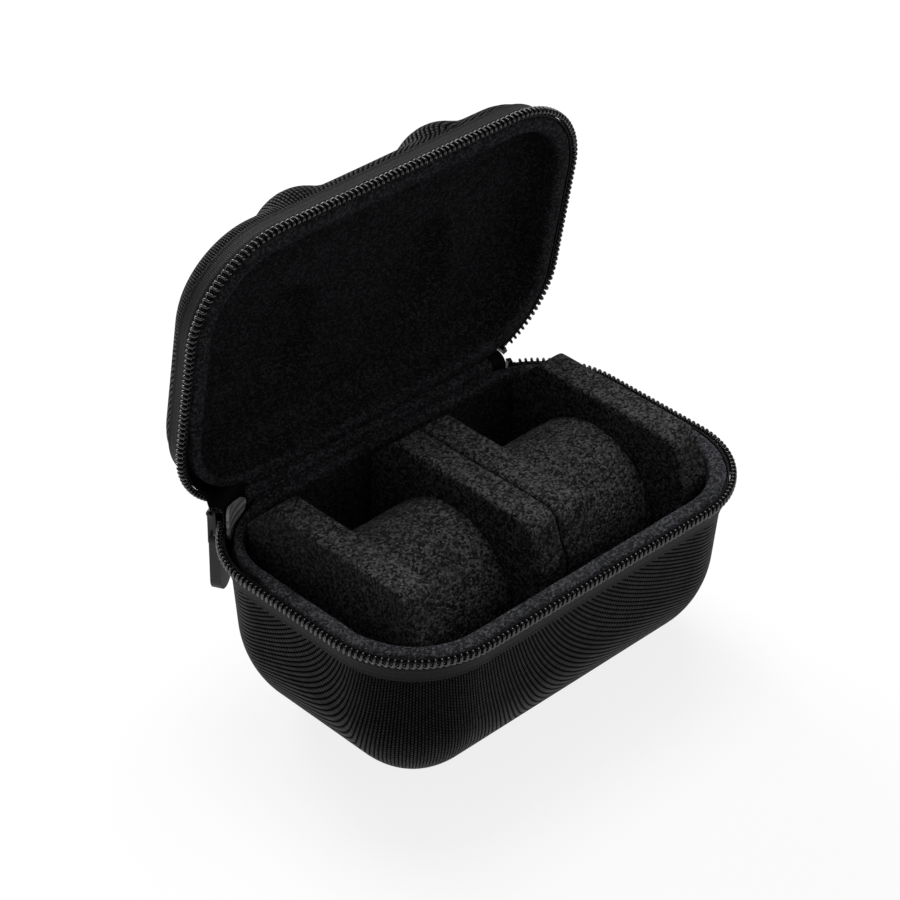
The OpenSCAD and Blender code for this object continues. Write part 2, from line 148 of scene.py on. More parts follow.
class Finishes(bpy.types.PropertyGroup):
    """Colours and weave sizes."""

    # The two cover colours are painted light and shade: the darker one is painted shade in the gaps between
    # the ribs, the lighter one painted light on their crests.
    cover_gap_shade: tint("Cover, between yarns", (0.0019, 0.0019, 0.002), "Colour in the gaps between the ribs")
    cover_crest_light: tint("Cover, on the yarns", (0.005, 0.005, 0.0051), "Colour on the crest of a rib")
    velvet: tint("Velvet", (0.032, 0.0325, 0.036), "Mean colour of the lining")
    foam: tint("Foam", (0.042, 0.042, 0.0435), "Mean colour of the inserts")
    nylon: tint("Coil nylon", (0.0035, 0.0035, 0.0038), "Colour of the coil")
    rubber: tint("Pull rubber", (0.007, 0.007, 0.007), "Colour of the pull")
    plate: tint("Slider plate", (0.6, 0.6, 0.61), "Colour of the bare inner plate")
    body: tint("Slider body", (0.03, 0.029, 0.027), "Colour of the painted rest of the slider")
    rib_pitch: length("Rib pitch", 1.25, "Distance from one rib of the cover to the next")
    float_length: length("Yarn float", 1.1, "Length of one yarn float along a rib")
    velvet_fleck: length("Velvet fleck", 0.55, "Size of a light fleck in the velvet")
    foam_cell: length("Foam cell", 0.6, "Size of a cell in the foam's face")


SIZES = None
ZIP = None
LOOK = None


def use_settings(context):
    """Takes the sizes and colours of the scene for the pieces that follow."""
    global SIZES, ZIP, LOOK
    SIZES = context.scene.case_sizes
    ZIP = context.scene.case_zip
    LOOK = context.scene.case_finishes


def smooth(share):
    """Eases a share between 0 and 1 at both its ends."""
    return share * share * (3 - 2 * share)


def outward(turn):
    """Unit vectors in plan for headings in radians."""
    return np.stack([np.cos(turn), np.sin(turn)], 1)


# Places round the rim


def rim_places(step, left=90.0, right=90.0, ring=False):
    """Places along the rim from the slider's corner round the front to the far corner.

    Each place has a core point, the heading of its outward normal and its run along the zip.
    With ring, the places go on along the hinge and close."""
    r = SIZES.rim_radius
    cx = SIZES.rim_length / 2 - r
    cy = SIZES.rim_width / 2 - r
    legs = [
        ((-cx, cy), (-cx, cy), 180 - left, 180),
        ((-cx, cy), (-cx, -cy), 180, 180),
        ((-cx, -cy), (-cx, -cy), 180, 270),
        ((-cx, -cy), (cx, -cy), 270, 270),
        ((cx, -cy), (cx, -cy), 270, 360),
        ((cx, -cy), (cx, cy), 360, 360),
        ((cx, cy), (cx, cy), 360, 360 + right),
    ]
    if ring:
        legs.append(((cx, cy), (-cx, cy), 450, 450))
    rows = []
    run = 0.0
    for start, end, turn0, turn1 in legs:
        length = math.dist(start, end) + math.radians(turn1 - turn0) * r
        count = max(1, round(length / step))
        for i in range(count):
            t = i / count
            x = start[0] + (end[0] - start[0]) * t
            y = start[1] + (end[1] - start[1]) * t
            rows.append((x, y, math.radians(turn0 + (turn1 - turn0) * t), run + length * t))
        run += length
    if not ring:
        rows.append((cx, cy, math.radians(360 + right), run))
    table = np.array(rows)
    return {"core": table[:, :2], "turn": table[:, 2], "run": table[:, 3], "length": run}


def hinge_places(step, left, right):
    """Places along the back of the rim, from the far corner to the slider's corner."""
    ring = rim_places(step, ring=True)
    r = SIZES.rim_radius
    start = ring["length"] - (SIZES.rim_length - 2 * r)
    low = start - math.radians(90 - right) * r
    high = ring["length"] + math.radians(90 - left) * r
    run = np.arange(low, high, step)
    run = np.append(run, high)
    core, turn = along(ring, run)
    return {"core": core, "turn": turn, "run": run}


def along(places, run):
    """Core points and headings at the given runs, which may go past the end of a closed ring."""
    full = places["length"]
    runs = np.concatenate([places["run"], places["run"] + full])
    core = np.concatenate([places["core"], places["core"]])
    turn = np.concatenate([places["turn"], places["turn"] + 2 * math.pi])
    x = np.interp(run, runs, core[:, 0])
    y = np.interp(run, runs, core[:, 1])
    return np.stack([x, y], 1), np.interp(run, runs, turn)


def cloth_turn(places):
    """How the moulded cloth turns round the case, and how far its yarns run along the rim, in metres."""
    r = SIZES.rim_radius
    edge = places["core"] + outward(places["turn"]) * r
    psi = np.unwrap(np.arctan2(edge[:, 1] * 2 / SIZES.rim_width, edge[:, 0] * 2 / SIZES.rim_length))
    lean = psi - math.radians(135)
    squeeze = 1.25 - 0.25 * np.cos(4 * psi)  # the ribs crowd together at the four corners
    run = np.append(places["run"], places["length"])
    gaps = np.diff(run)
    across = np.concatenate([[0], np.cumsum(np.sin(lean) * squeeze * gaps)])
    down = np.concatenate([[0], np.cumsum(np.cos(lean) * squeeze * gaps)])
    share = run / places["length"]
    across = (across - across[-1] * share)[:-1]
    down = (down - down[-1] * share)[:-1]
    return lean, across, down


def ribbed(places, w):
    """Cloth coordinates in millimetres of every place at depths w along the profile."""
    lean, across, down = cloth_turn(places)
    w = np.asarray(w)[None, :]
    u = w * np.cos(lean)[:, None] + across[:, None]
    v = -w * np.sin(lean)[:, None] + down[:, None]
    return np.stack([u, v], 2) / MM


def straight(places, w):
    """Cloth coordinates in millimetres along the rim and down the profile."""
    run = np.broadcast_to(places["run"][:, None], (len(places["run"]), len(w)))
    deep = np.broadcast_to(np.asarray(w)[None, :], run.shape)
    return np.stack([run, deep], 2) / MM


def swept(places, profile):
    """Points of a profile carried round the places. A profile row is radius, height and core scale."""
    profile = np.asarray(profile)
    out = outward(places["turn"])
    xy = places["core"][:, None, :] * profile[None, :, 2:3] + out[:, None, :] * profile[None, :, 0:1]
    z = np.broadcast_to(profile[None, :, 1:2], xy.shape[:2] + (1,))
    return np.concatenate([xy, z], 2)


def lengths(profile):
    """Distance along a profile from its first row."""
    rows = np.asarray(profile)[:, :2]
    return np.concatenate([[0], np.cumsum(np.linalg.norm(np.diff(rows, axis=0), axis=1))])


# Profiles of the moulded walls


def wall_r(z, inset):
    """Radius of the drafted wall at height z for a layer inset from the cover's face."""
    s = SIZES
    return s.rim_radius - s.cover_inset - inset / math.cos(s.lean) + (z + s.cover_edge) * math.tan(s.lean)


def tub_rows(inset, height, fillet, edge, top, floor_rings):
    """Rows of a tub from its top edge down the wall, round the fillet and in to the middle of the floor."""
    s = SIZES
    step = s.mesh_step
    zc = -height + fillet * math.cos(edge)
    rc = wall_r(zc, 0) - fillet / math.cos(s.lean)
    radius = fillet - inset
    first = (rc + radius * math.cos(s.lean), zc - radius * math.sin(s.lean))
    count = max(2, round((top - first[1]) / step))
    rows = []
    for i in range(count):
        z = top + (first[1] - top) * i / count
        rows.append((wall_r(z, inset), z, 1.0))
    last = math.asin(min(1.0, (height - inset + zc) / radius))
    turns = max(4, round(radius * (last - s.lean) / step))
    for i in range(turns + 1):
        a = s.lean + (last - s.lean) * i / turns
        rows.append((rc + radius * math.cos(a), zc - radius * math.sin(a), 1.0))
    r, z, _ = rows[-1]
    for i in range(1, floor_rings + 1):
        scale = 1 - i / (floor_rings + 1)
        rows.append((r * scale, z, scale))
    return rows


def dome_depth(x, y, inset, front, back):
    """How far below the closing plane a dome's skin lies at a place in plan."""
    s = SIZES
    beyond = np.maximum(np.maximum(front - y, y - back), 0)
    off = np.hypot(np.abs(x) - s.dome_x, beyond) - s.dome_flat
    radius = s.dome_radius - inset
    middle = s.lid_height + s.dome_rise - s.dome_radius
    inside = radius**2 - np.maximum(off, 0) ** 2
    skirt = np.maximum(off - radius, 0) * 2  # falls away steeply outside the dome
    return middle + np.sqrt(np.maximum(inside, 0)) - skirt


def raise_domes(points, inset, front, back, blend, slack=0.0):
    """Presses the two domes into a swept lid, with a soft foot."""
    flat = points[..., 2] < -(SIZES.lid_height - SIZES.lid_fillet)
    deep = dome_depth(points[..., 0], points[..., 1], inset, front, back) - slack
    old = -points[..., 2]
    new = 0.5 * (old + deep + np.hypot(old - deep, blend))
    points[..., 2] = np.where(flat, -new, points[..., 2])
    return points


# From the tub to its place


def on_base(points):
    """Moves points from the closing plane's own frame onto the base."""
    moved = np.array(points, float)
    moved[..., 2] += RIM_Z
    return moved


def on_lid(points, turn=LID_OPEN):
    """Turns points of a tub over onto the open lid."""
    p = np.array(points, float)
    y = p[..., 1] - HINGE_Y
    z = -p[..., 2]
    moved = p.copy()
    moved[..., 1] = HINGE_Y + y * np.cos(turn) + z * np.sin(turn)
    moved[..., 2] = RIM_Z - y * np.sin(turn) + z * np.cos(turn)
    return moved


# Meshes


def linked(name, data):
    """A new object in the scene."""
    piece = bpy.data.objects.new(name, data)
    bpy.context.scene.collection.objects.link(piece)
    return piece


def grid_piece(name, points, cloth, ring=False, tube=False, caps=False):
    """A mesh from a grid of points.

    ring closes it round the rim, tube closes its profile, and caps closes both ends of a tube."""
    n, m = points.shape[:2]
    faces = []
    for i in range(n if ring else n - 1):
        for j in range(m if tube else m - 1):
            k = (i + 1) % n
            o = (j + 1) % m
            faces.append((i * m + j, i * m + o, k * m + o, k * m + j))
    if caps:
        faces.append(list(range(m)))
        faces.append([(n - 1) * m + j for j in range(m)][::-1])
    mesh = bpy.data.meshes.new(name)
    mesh.from_pydata(points.reshape(-1, 3).tolist(), [], faces)
    layer = mesh.uv_layers.new(name="cloth")
    flat = cloth.reshape(-1, 2)
    index = np.zeros(len(mesh.loops), np.int32)
    mesh.loops.foreach_get("vertex_index", index)
    layer.data.foreach_set("uv", flat[index].astype(np.float32).ravel())
    mesh.polygons.foreach_set("use_smooth", [True] * len(mesh.polygons))
    tidy_normals(mesh)
    return linked(name, mesh)


def tidy_normals(mesh):
    """Points every face of a closed mesh outwards."""
    work = bmesh.new()
    work.from_mesh(mesh)
    bmesh.ops.recalc_face_normals(work, faces=work.faces)
    work.to_mesh(mesh)
    work.free()


def ruffle(piece, size, depth, seed):
    """Moves the points of a soft piece a little along their normals."""
    mesh = piece.data
    shift = Vector((seed, seed * 0.7, seed * 0.3))
    normals = [v.normal.copy() for v in mesh.vertices]
    for v, n in zip(mesh.vertices, normals):
        v.co += n * noise.noise(v.co / size + shift) * depth
    mesh.update()


def place(piece, body, slot, material, *nodes):
    """Gives a piece its body, its finish and the CAD nodes that it stands for."""
    piece.data.materials.clear()
    piece.data.materials.append(material)
    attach(piece, body)
    if nodes:
        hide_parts(*nodes)


# Materials


def shader_group(name, inputs, outputs):
    """An empty shader node group with its sockets."""
    tree = bpy.data.node_groups.new(name, "ShaderNodeTree")
    for label, kind, value in inputs:
        socket = tree.interface.new_socket(label, in_out="INPUT", socket_type=kind)
        if value is not None:
            socket.default_value = value
    for label in outputs:
        tree.interface.new_socket(label, in_out="OUTPUT", socket_type="NodeSocketFloat")
    return tree, tree.nodes.new("NodeGroupInput").outputs, tree.nodes.new("NodeGroupOutput").inputs


def maths_node(tree, operation, *values):
    """One maths node, fed by numbers or sockets."""
    node = tree.nodes.new("ShaderNodeMath")
    node.operation = operation
    for socket, value in zip(node.inputs, values):
        if isinstance(value, (int, float)):
            socket.default_value = value
        else:
            tree.links.new(value, socket)
    return node.outputs[0]


def weave_group():
    """Raised yarns in ribs, each rib broken into floats that are staggered from rib to rib."""
    if "Rib weave" in bpy.data.node_groups:
        return bpy.data.node_groups["Rib weave"]
    sockets = [
        ("Cloth", "NodeSocketVector", None),
        ("Pitch", "NodeSocketFloat", 1.5),
        ("Float", "NodeSocketFloat", 1.5),
        ("Break", "NodeSocketFloat", 0.5),
    ]
    tree, given, result = shader_group("Rib weave", sockets, ["Height", "Yarn"])
    maths = partial(maths_node, tree)
    parts = tree.nodes.new("ShaderNodeSeparateXYZ")
    tree.links.new(given["Cloth"], parts.inputs[0])
    u = maths("DIVIDE", parts.outputs["X"], given["Pitch"])
    rib = maths("FLOOR", u)
    stagger = maths("MULTIPLY", maths("FLOORED_MODULO", rib, 2.0), 0.5)
    v = maths("ADD", maths("DIVIDE", parts.outputs["Y"], given["Float"]), stagger)
    across = maths("MULTIPLY", maths("SUBTRACT", maths("FRACT", u), 0.5), 2.0)
    down = maths("MULTIPLY", maths("SUBTRACT", maths("FRACT", v), 0.5), 2.0)
    square = maths("POWER", maths("ABSOLUTE", across), 2.0)
    round_yarn = maths("SQRT", maths("SUBTRACT", 1.0, square))
    dip = maths("MULTIPLY", maths("POWER", maths("ABSOLUTE", down), 3.0), given["Break"])
    height = maths("MULTIPLY", round_yarn, maths("SUBTRACT", 1.0, dip))
    tree.links.new(height, result["Height"])
    join = tree.nodes.new("ShaderNodeCombineXYZ")
    tree.links.new(rib, join.inputs[0])
    tree.links.new(maths("FLOOR", v), join.inputs[1])
    chance = tree.nodes.new("ShaderNodeTexWhiteNoise")
    chance.noise_dimensions = "2D"
    tree.links.new(join.outputs[0], chance.inputs["Vector"])
    tree.links.new(chance.outputs["Value"], result["Yarn"])
    return tree


def speckle_group():
    """Fine grain for foam, velvet and rubber, with a slow drift in tone."""
    if "Speckle" in bpy.data.node_groups:
        return bpy.data.node_groups["Speckle"]
    sockets = [
        ("Place", "NodeSocketVector", None),
        ("Grain", "NodeSocketFloat", 0.5),
        ("Drift", "NodeSocketFloat", 12.0),
    ]
    tree, given, result = shader_group("Speckle", sockets, ["Height", "Tone", "Slow"])
    maths = partial(maths_node, tree)
    fine = tree.nodes.new("ShaderNodeTexVoronoi")
    tree.links.new(given["Place"], fine.inputs["Vector"])
    tree.links.new(maths("DIVIDE", 1000.0, given["Grain"]), fine.inputs["Scale"])
    chance = tree.nodes.new("ShaderNodeSeparateXYZ")
    tree.links.new(fine.outputs["Color"], chance.inputs[0])
    slow = tree.nodes.new("ShaderNodeTexNoise")
    slow.inputs["Detail"].default_value = 3.0
    tree.links.new(given["Place"], slow.inputs["Vector"])
    tree.links.new(maths("DIVIDE", 1000.0, given["Drift"]), slow.inputs["Scale"])
    dome = maths("SUBTRACT", 1.0, fine.outputs["Distance"])
    tree.links.new(maths("MULTIPLY_ADD", chance.outputs["X"], 0.5, dome), result["Height"])
    tree.links.new(chance.outputs["X"], result["Tone"])
    tree.links.new(slow.outputs["Fac"], result["Slow"])
    return tree


class Finish:
    """A material with its Principled shader and a few helpers to feed it."""

    def __init__(self, name):
        self.material = bpy.data.materials.new(name)
        self.material.use_nodes = True
        self.tree = self.material.node_tree
        self.shader = self.tree.nodes["Principled BSDF"]
        self.coords = self.tree.nodes.new("ShaderNodeTexCoord")

    def set(self, **constants):
        """Sets the shader's own values."""
        for label, value in constants.items():
            self.shader.inputs[label.replace("_", " ")].default_value = value

    def maths(self, operation, *values):
        """One maths node of this material."""
        return maths_node(self.tree, operation, *values)

    def effect(self, group, source, **values):
        """Places a node group, fed by the cloth or the place on the piece."""
        node = self.tree.nodes.new("ShaderNodeGroup")
        node.node_tree = group
        self.tree.links.new(self.coords.outputs[source], node.inputs[0])
        for label, value in values.items():
            node.inputs[label].default_value = value
        return node.outputs

    def colour(self, mask, dark, light):
        """Base colour between dark and light by a mask."""
        mix = self.tree.nodes.new("ShaderNodeMix")
        mix.data_type = "RGBA"
        self.tree.links.new(mask, mix.inputs["Factor"])
        mix.inputs["A"].default_value = (*dark, 1)
        mix.inputs["B"].default_value = (*light, 1)
        self.tree.links.new(mix.outputs["Result"], self.shader.inputs["Base Color"])

    def feed(self, label, value):
        """Lets a mask or a value drive one of the shader's numbers."""
        self.tree.links.new(value, self.shader.inputs[label])

    def bump(self, height, depth):
        """Relief of a depth in millimetres from a height."""
        node = self.tree.nodes.new("ShaderNodeBump")
        node.inputs["Distance"].default_value = depth * MM
        self.tree.links.new(height, node.inputs["Height"])
        self.tree.links.new(node.outputs["Normal"], self.shader.inputs["Normal"])


def once(name):
    """Makes the material of a finish the first time, and finds it again after that."""

    def wrap(fill):
        def finish():
            made = bpy.data.materials.get(name)
            if made:
                return made
            f = Finish(name)
            fill(f)
            return f.material

        return finish

    return wrap


def shade(colour, factor):
    """A colour made lighter or darker."""
    return tuple(c * factor for c in colour)


@once("woven cover")
def woven_finish(f):
    """Ribbed polyester cloth of the cover, with painted shade between the ribs and painted light on their
    crests.
    """
    f.set(Roughness=0.48, Sheen_Roughness=0.35)
    yarns = {"Pitch": LOOK.rib_pitch / MM, "Float": LOOK.float_length / MM, "Break": 0.35}
    weave = f.effect(weave_group(), "UV", **yarns)
    # Painted shade and light: the rib's height, raised to a power and varied at random from yarn to yarn,
    # sets the colour from painted shade in the gaps to painted light on the crests; the same mask turns
    # down the gloss and sheen in the gaps.
    tone = f.maths("POWER", weave["Height"], 5.0)
    vary = f.maths("MULTIPLY_ADD", weave["Yarn"], 0.5, 0.75)
    mask = f.maths("MULTIPLY", tone, vary)
    f.colour(mask, LOOK.cover_gap_shade, LOOK.cover_crest_light)
    f.feed("Specular IOR Level", f.maths("MULTIPLY", mask, 0.1))
    f.feed("Sheen Weight", f.maths("MULTIPLY", mask, 0.16))
    f.bump(weave["Height"], 0.5)


@once("zip tape")
def tape_finish(f):
    """Knitted tape of the zip and the hinge, with painted shade between its yarns and painted light on
    their crests.
    """
    f.set(Roughness=0.7, Specular_IOR_Level=0.2)
    weave = f.effect(weave_group(), "UV", Pitch=0.62, Float=0.9, Break=0.5)
    # Painted shade between the tape's yarns and painted light on their crests, from the weave's height.
    f.colour(weave["Height"], shade(LOOK.cover_crest_light, 0.1), shade(LOOK.cover_crest_light, 0.6))
    f.bump(weave["Height"], 0.12)


@once("velvet pile")
def velvet_finish(f):
    """Short velvet of the lining, with painted light on its rolled lip."""
    tint = (0.5, 0.54, 0.7, 1)
    f.set(Roughness=0.9, Specular_IOR_Level=0.04, Sheen_Roughness=0.4, Sheen_Tint=tint)
    grain = f.effect(speckle_group(), "Object", Grain=LOOK.velvet_fleck / MM, Drift=14.0)
    parts = f.tree.nodes.new("ShaderNodeSeparateXYZ")
    f.tree.links.new(f.coords.outputs["UV"], parts.inputs[0])
    # Painted light: the first millimetres of the lining from its edge, the rolled lip, are made lighter for
    # the light that the lip catches; the same mask raises the sheen there.
    near_edge = f.maths("MULTIPLY_ADD", parts.outputs["Y"], -0.4, 4.0)
    lip_painted_light = f.maths("MINIMUM", f.maths("MAXIMUM", near_edge, 0.0), 1.0)
    fleck = f.maths("POWER", grain["Tone"], 2.2)
    mask = f.maths("MULTIPLY_ADD", grain["Slow"], 0.12, f.maths("MULTIPLY", fleck, 0.34))
    mask = f.maths("MULTIPLY", mask, f.maths("MULTIPLY_ADD", lip_painted_light, 0.7, 1.0))
    f.colour(mask, shade(LOOK.velvet, 0.2), shade(LOOK.velvet, 5.0))
    f.feed("Sheen Weight", f.maths("MULTIPLY", mask, 0.06))
    f.bump(grain["Height"], 0.3)


@once("insert foam")
def foam_finish(f):
    """Open-cell foam of the inserts."""
    f.set(Roughness=0.85, Specular_IOR_Level=0.15)
    grain = f.effect(speckle_group(), "Object", Grain=LOOK.foam_cell / MM, Drift=9.0)
    fleck = f.maths("POWER", grain["Tone"], 1.7)
    f.colour(fleck, shade(LOOK.foam, 0.08), shade(LOOK.foam, 2.6))
    f.bump(grain["Height"], 0.22)


def speckled(name, colour, shades, mask, grain, drift, relief, **constants):
    """A finish in two shades of one colour, with a fine grain."""

    @once(name)
    def finish(f):
        f.set(**constants)
        speckle = f.effect(speckle_group(), "Object", Grain=grain, Drift=drift)
        f.colour(speckle[mask], shade(colour, shades[0]), shade(colour, shades[1]))
        f.bump(speckle["Height"], relief)

    return finish()


def board_finish():
    """Moulded foam board, seen only in the slot of the slider."""
    look = {"Roughness": 0.85, "Specular_IOR_Level": 0.3}
    return speckled("foam board", LOOK.velvet, (0.5, 1.2), "Tone", 0.4, 10.0, 0.1, **look)


def nylon_finish():
    """Glossy nylon of the coil."""
    look = {"Roughness": 0.18, "Specular_IOR_Level": 0.7}
    return speckled("coil nylon", LOOK.nylon, (0.6, 1.5), "Slow", 1.2, 6.0, 0.03, **look)


def metal_finish(name, colour, roughness):
    """Plated metal with fine wear."""
    return speckled(name, colour, (0.75, 1.2), "Slow", 0.5, 2.5, 0.04, Roughness=roughness, Metallic=1.0)


def rubber_finish():
    """Matt moulded rubber of the pull."""
    look = {"Roughness": 0.55, "Specular_IOR_Level": 0.45}
    return speckled("pull rubber", LOOK.rubber, (0.6, 1.4), "Slow", 0.3, 4.0, 0.05, **look)


@once("slider metal")
def slider_finish(f):
    """Painted metal with a bare, ridged inner plate."""
    f.set(Roughness=0.42)
    plate_gap = 1.6 * MM  # from the zip ring in to the space between the plates
    ridge_pitch = 2.4 * MM
    r = SIZES.rim_radius
    centre = (SIZES.rim_length / 2 - r, r - SIZES.rim_width / 2, 0)
    shift = f.tree.nodes.new("ShaderNodeVectorMath")
    shift.inputs[1].default_value = centre
    f.tree.links.new(f.coords.outputs["Object"], shift.inputs[0])
    parts = f.tree.nodes.new("ShaderNodeSeparateXYZ")
    f.tree.links.new(shift.outputs[0], parts.inputs[0])
    x, y, z = parts.outputs
    squares = f.maths("ADD", f.maths("POWER", x, 2.0), f.maths("POWER", y, 2.0))
    inner = f.maths("LESS_THAN", f.maths("SQRT", squares), r - plate_gap)
    grain = f.effect(speckle_group(), "Object", Grain=0.5, Drift=2.5)
    bare = f.maths("MULTIPLY", inner, f.maths("MULTIPLY_ADD", grain["Slow"], 0.4, 0.7))
    f.colour(bare, LOOK.body, LOOK.plate)
    ridge = f.maths("SINE", f.maths("MULTIPLY", z, 2 * math.pi / ridge_pitch))
    ridge = f.maths("MULTIPLY", ridge, inner)
    f.feed("Metallic", f.maths("SUBTRACT", 1.0, inner))
    f.bump(f.maths("MULTIPLY_ADD", grain["Height"], 0.08, ridge), 0.16)


# Pieces


def floor_rings(domes):
    """Rings of points in the floor of a tub, with more where there are domes to shape."""
    return 34 if domes else 12


def two_skins(name, place_on, outer, inner):
    """A closed layer from two skins, each with its points and their cloth coordinates first."""
    points = np.concatenate([outer[0], inner[0][:, ::-1]], 1)
    cloth = np.concatenate([outer[1], inner[1][:, ::-1]], 1)
    piece = grid_piece(name, place_on(points), cloth, ring=True, tube=True)
    close_middle(piece, *points.shape[:2], outer[0].shape[1])
    return piece


def cloth_tub(name, place_on, height, fillet, edge, insets, domes):
    """A closed cloth layer of a tub, from its outer face round its edge to its inner face."""
    s = SIZES
    places = rim_places(s.mesh_step, ring=True)
    rings = floor_rings(domes)
    shapes = []
    for inset in insets:
        rows = tub_rows(inset, height, fillet, edge, -s.cover_edge, rings)
        points = swept(places, rows)
        if domes:
            raise_domes(points, inset, *domes, s.cover_blend)
        w = lengths(rows)
        scale = np.asarray(rows)[:, 2]
        if domes:
            w = np.where(scale < 1, w[-rings - 1] + (1 - scale) * s.rim_width / 2, w)
        shapes.append((points, ribbed(places, w), scale < 1))
    outer, inner = shapes
    if not domes:
        flat = outer[2]
        turned = (outer[0][..., 0] + outer[0][..., 1]) / MM, (outer[0][..., 0] - outer[0][..., 1]) / MM
        outer[1][:, flat] = (np.stack(turned, 2) * math.sqrt(0.5))[:, flat]
    return two_skins(name, place_on, outer, inner)


def close_middle(piece, n, m, half):
    """Swaps the wall between the two skins in the middle of the floor for one cap on each skin."""
    work = bmesh.new()
    work.from_mesh(piece.data)
    work.verts.ensure_lookup_table()
    outer = [work.verts[i * m + half - 1] for i in range(n)]
    inner = [work.verts[i * m + half] for i in range(n)]
    ring = set(outer) | set(inner)
    bridge = [f for f in work.faces if all(v in ring for v in f.verts)]
    bmesh.ops.delete(work, geom=bridge, context="FACES_ONLY")
    layer = work.loops.layers.uv.verify()
    for loop in (outer, inner):
        face = work.faces.new(loop)
        face.smooth = True
        for corner in face.loops:
            near = next(other for other in corner.vert.link_loops if other.face is not face)
            corner[layer].uv = near[layer].uv
    bmesh.ops.recalc_face_normals(work, faces=work.faces)
    work.to_mesh(piece.data)
    work.free()


def lining_piece(name, place_on, height, fillet, edge, domes):
    """The velvet lining: its rolled lip, its inner face and its hidden back."""
    s = SIZES
    places = rim_places(s.mesh_step, ring=True)
    rings = floor_rings(domes)
    front_inset = s.lining_in + s.lining_thick
    front = tub_rows(front_inset, height, fillet, edge, -s.lip_drop, rings)
    back = tub_rows(s.lining_in, height, fillet, edge, -s.lip_drop, rings)
    full = lip_fullness(places)[:, None, None]
    narrow, wide = (lip_rows(front_inset, inset) for inset in (s.slot_outer, s.lip_outer))
    lip = swept(places, narrow) * (1 - full) + swept(places, wide) * full
    if domes:
        sink_seam(lip, places)
    skins = []
    for rows, inset in ((front, front_inset), (back, s.lining_in)):
        points = swept(places, rows)
        if rows is front:
            points = np.concatenate([lip, points], 1)
            rows = wide + front
        if domes:
            raise_domes(points, inset, *domes, s.lining_blend, s.recess_less)
        skins.append((points, straight(places, lengths(rows))))
    return two_skins(name, place_on, *skins)


def lip_rows(front_inset, outer_inset):
    """Rows of the rolled lip, from its root beside the tape over its crown to the inner face."""
    s = SIZES
    low = wall_r(-s.lip_drop, front_inset)
    high = s.rim_radius - outer_inset
    half = (high - low) / 2
    rows = [(high - 0.6 * MM, -s.lip_drop - 2.4 * MM, 1.0), (high, -s.lip_drop - 1.2 * MM, 1.0)]
    crown_rows = 15
    for i in range(crown_rows):
        a = math.pi * i / crown_rows
        across = math.copysign(abs(math.cos(a)) ** 0.8, math.cos(a))
        rows.append((low + half + half * across, -s.lip_drop + s.lip_rise * math.sin(a) ** 0.9, 1.0))
    return rows


def lip_fullness(places):
    """How full the lip is at each place: slim where the slider runs, full elsewhere."""
    turn = np.degrees(places["turn"]) % 360
    y = places["core"][:, 1]
    cy = SIZES.rim_width / 2 - SIZES.rim_radius
    slim_from, fade_turn, fade_run = 104, 12, 9 * MM
    corner = np.clip((slim_from - turn) / fade_turn, 0, 1)
    side = np.clip((cy - y) / fade_run, 0, 1)
    left = (turn > 90.1) & (turn < 180.1)
    full = np.where(left, np.where(turn < 179.9, corner, side), 1.0)
    return smooth(full)


def sink_seam(lip, places):
    """Draws in the lip along a bowed seam where its ends are sewn together, beside the hinge."""
    side = np.abs(np.degrees(places["turn"]) - 450) < 1
    rows = np.linspace(0, 1, lip.shape[1])[None, :]
    bow_depth, width, pull = 1.6 * MM, 0.9 * MM, 0.7
    bow = SIZES.lip_seam + bow_depth * np.sin(math.pi * rows)
    near = np.exp(-(((lip[..., 0] - bow) / width) ** 2)) * side[:, None]
    middle = lip.mean(axis=1, keepdims=True)
    lip += (middle - lip) * (near * pull)[..., None]


def lower_edge(points, top):
    """Cuts the free edge of the tape back to a depth given for each place."""
    bend = ZIP.tape_bend
    z = points[..., 2]
    share = (bend - top[:, None]) / (bend - ZIP.tape_top)
    points[..., 2] = np.where(z > -bend, -bend + (z + bend) * share, z)
    return points


def tape_rows(top):
    """Closed outline of the tape: upright behind the teeth, then slanted onto the cover."""
    z = ZIP
    face = SIZES.rim_radius - z.tape_face
    lie = 0.05 * MM
    meet = wall_r(-z.tape_meet, 0) + lie
    end = wall_r(-z.tape_end, 0) + lie
    outer = [
        (face, -top),
        (face, -z.tape_bend + 0.9 * MM),
        (face - 0.12 * MM, -z.tape_bend + 0.2 * MM),
        (face - 0.45 * MM, -z.tape_bend - 0.5 * MM),
        (meet + z.tape_thick + 0.2 * MM, -z.tape_meet + 0.5 * MM),
        (meet + z.tape_thick, -z.tape_meet),
        (end + z.tape_thick, -z.tape_end + 0.2 * MM),
        (end + 0.5 * z.tape_thick, -z.tape_end),
    ]
    inner = [
        (end, -z.tape_end),
        (meet, -z.tape_meet),
        (face - z.tape_thick, -z.tape_bend),
        (face - z.tape_thick, -top),
    ]
    rows = [(r, h, 1.0) for r, h in outer + inner]
    return finer(rows, 0.5 * MM)


def finer(rows, step):
    """Adds rows to a closed outline so that none are further apart than step."""
    made = []
    for a, b in zip(rows, rows[1:] + rows[:1]):
        count = max(1, math.ceil(math.dist(a[:2], b[:2]) / step))
        for i in range(count):
            made.append(tuple(p + (q - p) * i / count for p, q in zip(a, b)))
    return made


def squared(wave):
    """Makes a wave squarer, for the flat sides of a loop."""
    return np.sign(wave) * np.abs(wave) ** ZIP.squareness


